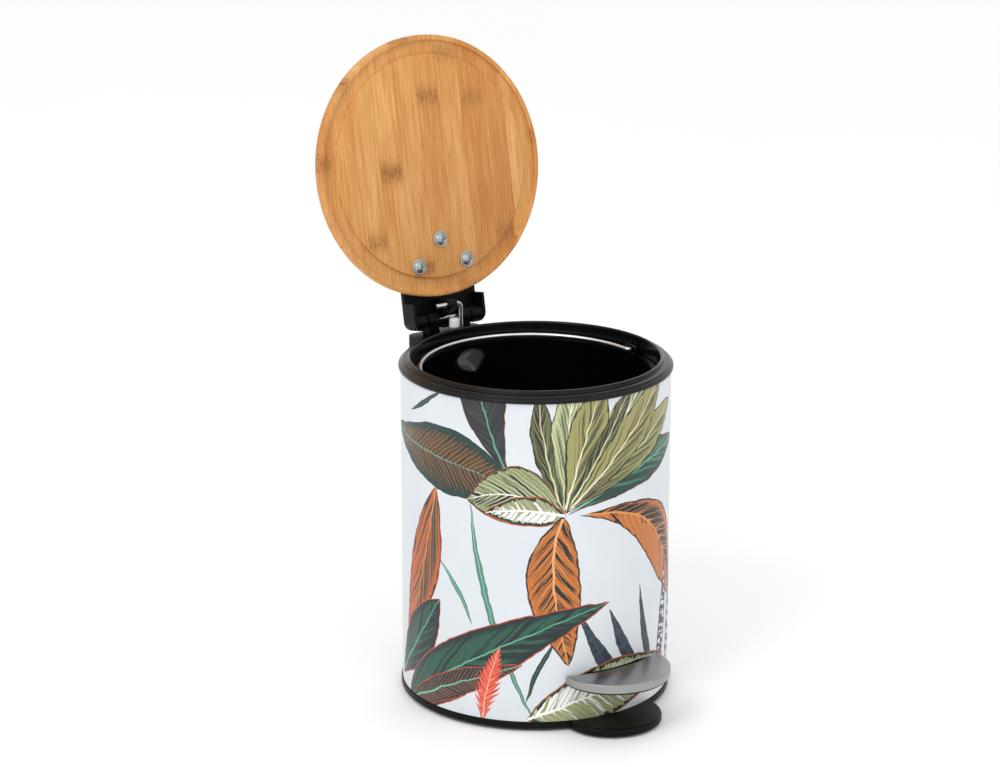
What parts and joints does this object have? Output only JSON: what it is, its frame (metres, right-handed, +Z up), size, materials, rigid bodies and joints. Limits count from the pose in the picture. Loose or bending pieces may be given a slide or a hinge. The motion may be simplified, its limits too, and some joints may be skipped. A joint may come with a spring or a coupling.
{
  "type": "pedal trash can",
  "caption": "Small round pedal bin: printed steel sleeve, black rim and base, bamboo lid on a rear hinge, steel pedal, push rod, lift-out bucket with a wire bail.",
  "frame": {"origin": "centre of the footprint on the floor, on the axis of the round body", "axes": "+Z up, -Y towards the pedal, +Y towards the lid hinge, X along the hinge pin"},
  "size_m": [0.1706, 0.2535, 0.3971],
  "materials": {
    "black_plastic": "moulded, satin",
    "bucket_plastic": "smooth gloss",
    "printed_steel": "printed, satin lacquer",
    "bamboo": "clear matt lacquer",
    "zinc_steel": "bright zinc plate",
    "steel_wire": "bright drawn wire",
    "brushed_steel": "brushed across the pedal",
    "white_nylon": "moulded nylon",
    "foot_rubber": "matt"
  },
  "bodies": {
    "body": {"base_tray": "black_plastic", "rubber_feet": "foot_rubber", "sleeve": "printed_steel", "rim_ring": "black_plastic", "hinge_housing": "black_plastic", "housing_screws": "zinc_steel", "hinge_pin": "steel_wire", "damper_body": "black_plastic", "rod_guide": "black_plastic", "pedal_axle": "steel_wire", "axle_retainers": "zinc_steel"},
    "lid": {"lid_panel": "bamboo", "lid_hinge_bracket": "black_plastic", "lid_screws": "zinc_steel", "lid_washers": "zinc_steel"},
    "rod": {"push_rod": "steel_wire", "rod_clip": "white_nylon"},
    "pedal": {"pedal_lever": "black_plastic", "pedal_cover": "brushed_steel"},
    "plunger": {"damper_plunger": "white_nylon"},
    "bucket": {"bucket": "bucket_plastic"},
    "bail": {"bail_handle": "steel_wire"}
  },
  "joints": [
    {"name": "lid_hinge", "type": "hinge", "parent": "body", "child": "lid", "pos_m": [0, 0.098, 0.2185], "axis": [-1, 0, 0], "range_deg": [-100.8, 0]},
    {"name": "pedal_pivot", "type": "hinge", "parent": "body", "child": "pedal", "pos_m": [0, -0.05, 0.028], "axis": [1, 0, 0], "range_deg": [-9.99, 0]},
    {"name": "rod_lift", "type": "slide", "parent": "body", "child": "rod", "axis": [0, 0, 1], "range_m": [-0.02265, 0]},
    {"name": "damper_stroke", "type": "slide", "parent": "body", "child": "plunger", "axis": [0, 0, 1], "range_m": [-0.0184, 0]},
    {"name": "bucket_lift", "type": "slide", "parent": "body", "child": "bucket", "axis": [0, 0, 1], "range_m": [0, 0.28]},
    {"name": "bail_swing", "type": "hinge", "parent": "bucket", "child": "bail", "pos_m": [0, 0, 0.2082], "axis": [1, 0, 0], "range_deg": [0, 177.6]}
  ],
  "couplings": [
    {"joint": "pedal_pivot", "follows": "lid_hinge", "ratio": 0.09894},
    {"joint": "rod_lift", "follows": "lid_hinge", "m_per_rad": 0.012846},
    {"joint": "damper_stroke", "follows": "lid_hinge", "m_per_rad": 0.010402}
  ]
}
